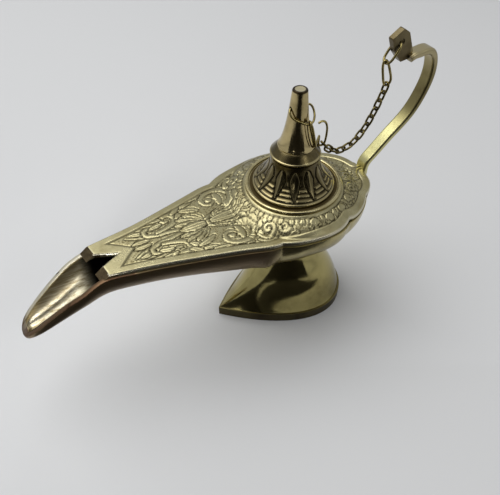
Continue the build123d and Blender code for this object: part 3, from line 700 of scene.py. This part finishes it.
def buildLink(name):
    shape = wireShape
    plain = readPoints(nodes[name])
    axes = np.linalg.svd(plain - plain.mean(axis=0), full_matrices=False)[2]
    if axes[0][2] > 0:  # the first axis runs down the chain
        axes[0] = -axes[0]
    axes[2] = np.cross(axes[0], axes[1])
    spread = plain @ axes.T
    low, high = spread.min(axis=0), spread.max(axis=0)
    middle = (low + high) / 2 @ axes
    length, width, wire = high - low
    bpy.ops.object.select_all(action="DESELECT")
    bpy.ops.mesh.primitive_torus_add(major_segments=shape["steps"], minor_segments=shape["wireSteps"],
                                     major_radius=shape["ringRadius"] * mm, minor_radius=wire / 2 * mm)
    link = bpy.context.object
    ring = readPoints(link)
    turn, out = np.arctan2(ring[:, 1], ring[:, 0]), np.hypot(ring[:, 0], ring[:, 1]) - shape["ringRadius"]

    # the ring becomes an oval, with its wire kept round
    full = shape["fullness"].get(name, shape["chainFullness"])
    base, slope = shape["taper"].get(name, (1.0, 0.0))

    def ovalPlace(angle):
        side = np.sin(angle) * np.sqrt(1 + full * np.cos(angle) ** 2) * (base + slope * np.cos(angle))
        return np.c_[(length - wire) / 2 * np.cos(angle), (width - wire) / 2 * side]

    ahead = ovalPlace(turn + shape["smallTurn"]) - ovalPlace(turn - shape["smallTurn"])
    ahead /= np.linalg.norm(ahead, axis=1)[:, None]
    flat = ovalPlace(turn) + np.c_[ahead[:, 1], -ahead[:, 0]] * out[:, None]
    writePoints(link, middle + np.c_[flat, ring[:, 2]] @ axes)
    return link


wireLinks = {name: buildLink(name) for name in wireShape["linkNames"]}


# wire loop through the finial: flat, and leaning out over the cone

loopShape = {
    "wire": 0.75,
    "hole": 93.0,
    "tilt": 48.0,
    "outline": [(-2.9, 0.0), (0.4, 0.0), (3.4, 0.0), (4.5, 0.7), (4.75, 2.3), (4.35, 4.2), (3.35, 5.8), (1.9, 6.6),
                (0.3, 6.3), (-1.4, 5.25), (-3.0, 3.95), (-4.0, 2.4), (-3.85, 0.75)],
    "bendSteps": 8,
    "wireSteps": 4,
}


def bendWire(name, route, shape, closed):
    curve = bpy.data.curves.new(name, "CURVE")
    curve.dimensions, curve.bevel_depth, curve.bevel_resolution = "3D", shape["wire"] / 2 * mm, shape["wireSteps"]
    curve.use_fill_caps = not closed
    spline = curve.splines.new("POLY")
    spline.points.add(len(route) - 1)
    spline.use_cyclic_u = closed
    for point, place in zip(spline.points, route):
        point.co = (*[part * mm for part in place], 1)
    bent = bpy.data.objects.new(name, curve)
    bpy.context.collection.objects.link(bent)
    pick(bent)
    bpy.ops.object.convert(target="MESH")
    return bpy.context.object


def buildLoop():
    shape = loopShape
    tilt, outline, steps = math.radians(shape["tilt"]), shape["outline"], shape["bendSteps"]
    overlapped = smoothLine(outline + outline[:3], steps)  # runs on past its start, so that it closes smoothly
    route = [(across, -down * math.sin(tilt), shape["hole"] - down * math.cos(tilt))
             for across, down in overlapped[steps:steps * (len(outline) + 1)]]
    return bendWire("finialLoop", route, shape, True)


wireLinks["finial_loop"] = buildLoop()


# hook: one wire, with a long eye on the loop, a bend for the chain and an open curled end

hookShape = {
    "wire": 0.8,
    "places": [(3.7, -6.42, 80.0), (2.95, -6.53, 83.2), (2.0, -6.3, 87.2), (1.58, -5.9, 88.75), (1.7, -4.9, 89.4),
               (1.97, -3.95, 88.8), (2.4, -4.03, 87.1), (3.0, -4.55, 84.2), (3.66, -5.11, 81.1), (3.8, -5.23, 80.4),
               (3.93, -5.35, 79.77), (4.21, -5.28, 79.23), (4.66, -4.93, 79.0), (5.3, -4.3, 79.0), (6.9, -2.7, 79.0),
               (9.1, -0.55, 79.0), (9.65, 0, 78.1), (9.65, 0, 75.65), (10.06, 0, 74.66), (11.05, 0, 74.25),
               (12.04, 0, 74.66), (12.5, 0, 75.7), (12.75, 0, 78.6), (12.6, 0, 81.4), (11.75, 0, 83.5),
               (10.3, 0, 84.45), (8.7, 0, 84.1)],
    "bendSteps": 8,
    "wireSteps": 4,
}
hookRoute = smoothLine(hookShape["places"], hookShape["bendSteps"])
wireLinks["lid_hook"] = bendWire("lidHook", hookRoute, hookShape, False)

for name, link in wireLinks.items():
    first, *others = name.split("_")
    pieceName = first + "".join(word.capitalize() for word in others)
    finishPiece(link, pieceName, name, [name], wireShape["smoothAngle"])


# materials

def linearColour(code):  # sRGB hex to the linear values that Blender works in
    parts = [int(code[n:n + 2], 16) / 255 for n in (1, 3, 5)]
    return (*[part / 12.92 if part <= 0.04045 else ((part + 0.055) / 1.055) ** 2.4 for part in parts], 1)


def addNode(tree, kind, links, **settings):  # links: socket to a value or to another node's output
    node = tree.nodes.new(kind)
    for name, value in settings.items():
        setattr(node, name, value)
    for socket, source in links.items():
        if isinstance(source, bpy.types.NodeSocket):
            tree.links.new(source, node.inputs[socket])
        else:
            node.inputs[socket].default_value = source
    return node


# Brass: a yellow metal that browns with age. Polished places stay pale gold, hollows keep a dark
# brown film, and rubbed edges shine. Sizes are in mm. Rough is given where clean and where aged,
# grain and scratches as their size and their depth.
brassLooks = {
    # the bowl: polished by hand outside, sooty and in painted shade in the throat, left rough and brown under the front
    # of the plate, with a painted sheen in the trough and painted shade along its walls
    "castBrassBowl": {
        "clean": "#C0B481", "aged": "#877B50", "rough": (0.2, 0.34), "cloud": 12, "cloudRange": (0.42, 0.8),
        "grain": (0.45, 0.014), "scratch": ((16.0, 1.0, 1.0), 0.05), "scratchBy": "trough",
        # the pale trough tint is a painted sheen, with darker streaks; the brown tint is painted shade on the trough's
        # near wall and grime on the outside; the black one is soot and painted shade in the throat and on the far wall
        "tints": [{"attribute": "trough", "colour": "#D4CCB2", "rough": 0.27},
                  {"attribute": "trough", "colour": "#93845F", "rough": 0.34, "streaky": True},
                  {"attribute": "grime", "colour": "#8D765C", "rough": 0.44, "patchy": 0.3},
                  {"attribute": "rimGrime", "colour": "#5A4231", "rough": 0.42, "patchy": 0.25},
                  {"attribute": "edge", "colour": "#CFC8B2", "rough": 0.36},
                  {"attribute": "soot", "colour": "#060504", "rough": 0.8}]},
    # the foot: polished dome over a dark unpolished band
    "castBrassFoot": {
        "clean": "#A59A66", "aged": "#685D38", "rough": (0.09, 0.2), "cloud": 13, "cloudRange": (0.45, 0.85),
        "grain": (0.6, 0.008), "scratch": ((6.0, 6.0, 0.35), 0.006),
        "tints": [{"axis": "Z", "from": 5.0, "to": 4.3, "colour": "#2E2615", "rough": 0.5, "patchy": 0.25}]},
    # the plate: dull gold leaves over a browner ground, black in the cut lines, and the same black as painted shade on
    # the underside and towards the lower edge of its sides
    "castBrassChased": {
        "clean": "#AEA680", "aged": "#877E5B", "rough": (0.25, 0.4), "cloud": 7, "cloudRange": (0.4, 0.75),
        "grain": (0.4, 0.03), "scratch": ((0.5, 4.0, 0.5), 0.03),
        "tints": [{"attribute": "ground", "colour": "#6E6444", "rough": 0.5, "punched": 0.8},
                  {"attribute": "groove", "colour": "#2C2616", "rough": 0.6},
                  {"attribute": "wear", "colour": "#DAD4BD", "rough": 0.24}]},
    # the lid: browner, with dark film round petals and bars, and painted shade on its plug
    "castBrassLid": {
        "clean": "#6F6445", "aged": "#3A321F", "rough": (0.17, 0.34), "cloud": 8, "cloudRange": (0.35, 0.7),
        "grain": (0.4, 0.02), "scratch": ((3.0, 3.0, 0.25), 0.006),
        "tints": [{"attribute": "groove", "colour": "#17130B", "rough": 0.55},
                  {"attribute": "wear", "colour": "#A89B72", "rough": 0.2}]},
    # turned finial: bright, with fine rings left by the tool, a dark ring just under the top's rim and a painted
    # highlight on its flat top
    "turnedBrassFinial": {
        "clean": "#BDAC7E", "aged": "#877850", "rough": (0.13, 0.24), "cloud": 6, "cloudRange": (0.45, 0.85),
        "grain": (0.4, 0.005), "scratch": ((9.0, 9.0, 0.22), 0.008),
        # a dark ring just under the top's rim, and a painted highlight on the flat top
        "tints": [{"axis": "Z", "from": 98.7, "to": 99.0, "colour": "#3B3120", "rough": 0.4},
                  {"radius": True, "from": 1.85, "to": 1.6, "colour": "#D6CAA4", "rough": 0.22, "above": 98.9}]},
    # seat ring: turned, with painted shade where the lid's rim drops in
    "turnedBrassSeat": {
        "clean": "#C2B68A", "aged": "#877B52", "rough": (0.24, 0.36), "cloud": 6, "cloudRange": (0.4, 0.8),
        "grain": (0.4, 0.012), "scratch": ((9.0, 9.0, 0.3), 0.008),
        "tints": [{"radius": True, "from": 16.6, "to": 16.2, "colour": "#4A3F26", "rough": 0.6}]},
    # strap: pale satin metal brushed along its length, with a painted shade band across its middle, its lug left brown
    "satinBrassStrap": {
        "clean": "#CBC58E", "aged": "#9D9562", "rough": (0.28, 0.4), "cloud": 9, "cloudRange": (0.45, 0.8),
        "grain": (0.4, 0.012), "scratch": ((4.0, 0.2, 4.0), 0.012),
        # the first tint is painted shade across the strap's middle height, where its inner face curves away
        "tints": [{"axis": "Z", "from": 69.0, "to": 79.0, "colour": "#6E6240", "rough": 0.34, "patchy": 0.3},
                  {"axis": "Z", "from": 92.0, "to": 99.0, "colour": "#A89C78", "rough": 0.3},
                  {"axis": "X", "from": 44.2, "to": 42.6, "colour": "#453922", "rough": 0.34, "above": 98.0,
                   "patchy": 0.4}]},
    # cut ends of the plate's prongs, filed: a darker copy of the plate's brass, painted shade on these forward-looking
    # faces
    "shadedBrassEnd": {
        "clean": "#6B5D44", "aged": "#3A3022", "rough": (0.38, 0.5), "cloud": 2.5, "cloudRange": (0.3, 0.7),
        "grain": (0.3, 0.02), "scratch": ((0.2, 3.0, 0.2), 0.015), "tints": []},
    # bent fittings: drawn wire gone olive, with bright runs
    "bentBrassWire": {
        "clean": "#B0A068", "aged": "#5C5130", "rough": (0.2, 0.4), "cloud": 2.6, "cloudRange": (0.35, 0.7),
        "grain": (0.3, 0.01), "scratch": ((0.3, 0.3, 0.3), 0.005), "tints": []},
    # chain wire: dark all over, rubbed to gold on the crowns
    "darkBrassWire": {
        "clean": "#8A7C4C", "aged": "#3E361E", "rough": (0.2, 0.42), "cloud": 2.0, "cloudRange": (0.3, 0.65),
        "grain": (0.3, 0.012), "scratch": ((0.3, 0.3, 0.3), 0.006), "tints": []},
}


textures = {
    "cloudDetail": 6.0, "cloudRough": 0.62, "patchRange": (0.3, 0.7),
    "markDetail": 4.0, "markRough": 0.7, "streakRange": (0.4, 0.65), "markForce": (0.2, 1.0),
    "grainDetail": 3.0, "dotRange": (0.55, 0.2),
}


def mapRange(tree, value, given, wanted=(0.0, 1.0)):
    return addNode(tree, "ShaderNodeMapRange", {"Value": value, "From Min": given[0], "From Max": given[1],
                                                "To Min": wanted[0], "To Max": wanted[1]}).outputs["Result"]


def noise(tree, place, scale, detail, rough=0.5):
    return addNode(tree, "ShaderNodeTexNoise", {"Vector": place, "Scale": scale, "Detail": detail,
                                                "Roughness": rough}).outputs["Fac"]


def blend(tree, amount, first, second):
    return addNode(tree, "ShaderNodeMix", {0: amount, 6: first, 7: second}, data_type="RGBA").outputs[2]


def tintAmount(tree, tint, place, clouds, marks):  # how far a tint covers the metal, 0 to 1
    factors = []
    if "attribute" in tint:
        amount = addNode(tree, "ShaderNodeAttribute", {}, attribute_name=tint["attribute"]).outputs["Fac"]
    else:
        if "radius" in tint:
            flat = addNode(tree, "ShaderNodeVectorMath", {0: place, 1: (1, 1, 0)}, operation="MULTIPLY")
            measure = addNode(tree, "ShaderNodeVectorMath", {0: flat.outputs[0]}, operation="LENGTH").outputs["Value"]
        else:
            measure = addNode(tree, "ShaderNodeSeparateXYZ", {0: place}).outputs[tint["axis"]]
        amount = mapRange(tree, measure, (tint["from"] * mm, tint["to"] * mm))
    if "above" in tint:
        height = addNode(tree, "ShaderNodeSeparateXYZ", {0: place}).outputs["Z"]
        over = addNode(tree, "ShaderNodeMath", {0: height, 1: tint["above"] * mm}, operation="GREATER_THAN")
        factors.append(over.outputs[0])
    if "patchy" in tint:
        factors.append(mapRange(tree, clouds, textures["patchRange"], (1.0, 1.0 - tint["patchy"])))
    if "punched" in tint:  # punch marks, drawn wider apart than they are so that they show
        marked = addNode(tree, "ShaderNodeTexVoronoi", {"Vector": place, "Scale": 1 / (tint["punched"] * mm)})
        factors.append(mapRange(tree, marked.outputs["Distance"], textures["dotRange"]))
    if "streaky" in tint:
        factors.append(mapRange(tree, marks, textures["streakRange"]))
    for factor in factors:
        amount = addNode(tree, "ShaderNodeMath", {0: amount, 1: factor}, operation="MULTIPLY").outputs[0]
    return amount


def newMetal(name):
    material = bpy.data.materials.new(name)
    material.use_nodes = True
    tree = material.node_tree
    shader = tree.nodes["Principled BSDF"]
    shader.inputs["Metallic"].default_value = 1.0
    return material, tree, shader, addNode(tree, "ShaderNodeTexCoord", {}).outputs["Object"]


def brassMaterial(name):
    look = brassLooks[name]
    material, tree, shader, place = newMetal(name)
    clouds = noise(tree, place, 1 / (look["cloud"] * mm), textures["cloudDetail"], textures["cloudRough"])
    aged = mapRange(tree, clouds, look["cloudRange"])
    colour = blend(tree, aged, linearColour(look["clean"]), linearColour(look["aged"]))
    rough = mapRange(tree, aged, (0.0, 1.0), look["rough"])
    (grainSize, grainDepth), (scratchSizes, scratchDepth) = look["grain"], look["scratch"]
    scales = tuple(1 / (size * mm) for size in scratchSizes)
    stretch = addNode(tree, "ShaderNodeMapping", {"Vector": place, "Scale": scales})
    marks = noise(tree, stretch.outputs["Vector"], 1.0, textures["markDetail"], textures["markRough"])
    for tint in look["tints"]:
        amount = tintAmount(tree, tint, place, clouds, marks)
        colour = blend(tree, amount, colour, linearColour(tint["colour"]))
        rough = addNode(tree, "ShaderNodeMix", {0: amount, 2: rough, 3: tint["rough"]}).outputs[0]
    tree.links.new(colour, shader.inputs["Base Color"])
    tree.links.new(rough, shader.inputs["Roughness"])
    # cast grain first, then fine rubbing marks over it
    grain = noise(tree, place, 1 / (grainSize * mm), textures["grainDetail"])
    bump = addNode(tree, "ShaderNodeBump", {"Height": grain, "Distance": grainDepth * mm, "Strength": 1.0})
    force = 1.0
    if "scratchBy" in look:
        amount = addNode(tree, "ShaderNodeAttribute", {}, attribute_name=look["scratchBy"]).outputs["Fac"]
        force = mapRange(tree, amount, (0.0, 1.0), textures["markForce"])
    fine = addNode(tree, "ShaderNodeBump", {"Height": marks, "Distance": scratchDepth * mm,
                                            "Strength": force, "Normal": bump.outputs["Normal"]})
    tree.links.new(fine.outputs["Normal"], shader.inputs["Normal"])
    return material


# Zinc plated steel: a cool grey bright plating with a faint matt bloom
zincLook = {"bright": "#B9BCC0", "dull": "#85888C", "rough": (0.25, 0.5), "bloom": 1.5, "bloomDepth": 0.01,
            "bloomDetail": 4.0}


def zincMaterial():
    look = zincLook
    material, tree, shader, place = newMetal("zincPlatedSteel")
    bloom = noise(tree, place, 1 / (look["bloom"] * mm), look["bloomDetail"])
    colour = blend(tree, bloom, linearColour(look["bright"]), linearColour(look["dull"]))
    bump = addNode(tree, "ShaderNodeBump", {"Height": bloom, "Distance": look["bloomDepth"] * mm, "Strength": 1.0})
    tree.links.new(colour, shader.inputs["Base Color"])
    tree.links.new(mapRange(tree, bloom, (0.0, 1.0), look["rough"]), shader.inputs["Roughness"])
    tree.links.new(bump.outputs["Normal"], shader.inputs["Normal"])
    return material


materials = {name: brassMaterial(name) for name in brassLooks}
materials["zincPlatedSteel"] = zincMaterial()
plainFinishes = {
    "foot": "castBrassFoot", "seat_ring": "turnedBrassSeat", "handle": "satinBrassStrap",
    "handle_rivets": "satinBrassStrap", "foot_screw": "zincPlatedSteel", "foot_washer": "zincPlatedSteel",
    "foot_nut": "zincPlatedSteel", "finial_nut": "zincPlatedSteel",
}
for name, finish in plainFinishes.items():
    nodes[name].data.materials.clear()
    nodes[name].data.materials.append(materials[finish])
for piece, finish in ((topPlate, "castBrassChased"), (topPlate, "shadedBrassEnd"), (bellLid, "castBrassLid"),
                      (bowlShell, "castBrassBowl"), (finialCone, "turnedBrassFinial")):
    piece.data.materials.append(materials[finish])
for name, link in wireLinks.items():
    link.data.materials.append(materials["darkBrassWire" if name.startswith("chain") else "bentBrassWire"])
print("materials set:", len(materials))


# pale floor, soft light and the camera

studio = {
    "floorSize": 6.0, "floorHeight": -0.0002, "floorColour": "#D9DADB", "floorRough": 0.7,
    "skyColour": "#C2C4C6", "skyLight": 0.28,
    "keyPlace": (-0.3, 0.32, 1.05), "keySize": 1.1, "keyPower": 9.8,
    "fillPlace": (0.25, -0.75, 0.7), "fillSize": 0.24, "fillPower": 1.0,
    "glintPlace": (-0.186, -0.164, 0.147), "glintSize": 0.05, "glintPower": 0.008,
    "glintSpread": 40.0, "glintAim": (-0.0905, 0.0043, 0.0428),
    "openSpread": 180.0, "middle": (0, 0, 0),
    "cardColour": "#171411", "cardRough": 0.9,
    "wallCardPlace": (-0.122, -0.23, 0.36), "wallCardSize": (0.64, 0.72), "wallCardLean": 90.0,
    # the floor card gives the foot a painted dark reflection
    "floorCardPlace": (-0.068, -0.135, 0.001), "floorCardSize": (0.2, 0.222), "floorCardLean": 0.0,
    "cameraPlace": (-82.46, -121.28, 180.34), "cameraTurn": (43.33, 0.0, -27.94), "lens": 36.0, "sensor": 36.0,
    "clipStart": 0.01,
}


# Matt paper and card: even grey, pale or nearly black, without shine
def mattMaterial(name, colour, rough):
    material = bpy.data.materials.new(name)
    material.use_nodes = True
    shader = material.node_tree.nodes["Principled BSDF"]
    shader.inputs["Base Color"].default_value = linearColour(colour)
    shader.inputs["Roughness"].default_value = rough
    return material


def buildStudio():
    world = bpy.data.worlds.new("paleStudio")
    bpy.context.scene.world = world
    world.use_nodes = True
    tree = world.node_tree
    tree.nodes.clear()
    path = addNode(tree, "ShaderNodeLightPath", {})
    seen = path.outputs["Is Camera Ray"]
    for ray in ("Is Glossy Ray", "Is Transmission Ray"):
        seen = addNode(tree, "ShaderNodeMath", {0: seen, 1: path.outputs[ray]}, operation="MAXIMUM").outputs["Value"]
    shown = addNode(tree, "ShaderNodeBackground", {"Color": linearColour(studio["skyColour"]), "Strength": 1.0})
    light = addNode(tree, "ShaderNodeBackground", {"Color": (1, 1, 1, 1), "Strength": studio["skyLight"]})
    mix = addNode(tree, "ShaderNodeMixShader", {0: seen, 1: light.outputs[0], 2: shown.outputs[0]})
    addNode(tree, "ShaderNodeOutputWorld", {"Surface": mix.outputs[0]})

    bpy.ops.mesh.primitive_plane_add(size=studio["floorSize"], location=(0, 0, studio["floorHeight"]))
    floor = bpy.context.object
    floor.name = "paleFloor"
    floor.data.materials.append(mattMaterial("paleMattPaper", studio["floorColour"], studio["floorRough"]))

    # dark cards behind and below the camera, seen only in the metal; the one on the floor is a painted dark reflection
    # in the foot, where it would show the pale floor
    black = mattMaterial("blackMattCard", studio["cardColour"], studio["cardRough"])
    for name in ("wallCard", "floorCard"):
        bpy.ops.mesh.primitive_plane_add(size=1, location=studio[name + "Place"])
        card = bpy.context.object
        card.name = name
        card.scale = (*studio[name + "Size"], 1)
        card.rotation_euler = (math.radians(studio[name + "Lean"]), 0, math.radians(studio["cameraTurn"][2]))
        card.data.materials.append(black)
        card.visible_camera = card.visible_diffuse = card.visible_shadow = card.visible_transmission = False

    # soft light from above and from the front, and a small lamp that glints in the trough
    for name in ("key", "fill", "glint"):
        lamp = bpy.data.lights.new(name + "Light", "AREA")
        lamp.size = studio[name + "Size"]
        lamp.energy = studio[name + "Power"]
        lamp.spread = math.radians(studio.get(name + "Spread", studio["openSpread"]))
        holder = bpy.data.objects.new(name + "Light", lamp)
        bpy.context.collection.objects.link(holder)
        holder.location = studio[name + "Place"]
        holder.visible_camera = False
        aim = Vector(studio.get(name + "Aim", studio["middle"])) - holder.location
        holder.rotation_euler = aim.to_track_quat("-Z", "Y").to_euler()

    camera = bpy.data.cameras.new("photoCamera")
    camera.lens, camera.sensor_width, camera.sensor_fit = studio["lens"], studio["sensor"], "HORIZONTAL"
    camera.clip_start = studio["clipStart"]
    view = bpy.data.objects.new("photoCamera", camera)
    bpy.context.collection.objects.link(view)
    view.location = [part * mm for part in studio["cameraPlace"]]
    view.rotation_euler = [math.radians(part) for part in studio["cameraTurn"]]
    bpy.context.scene.camera = view
    bpy.context.scene.view_settings.view_transform = "Standard"


buildStudio()
print("studio set")
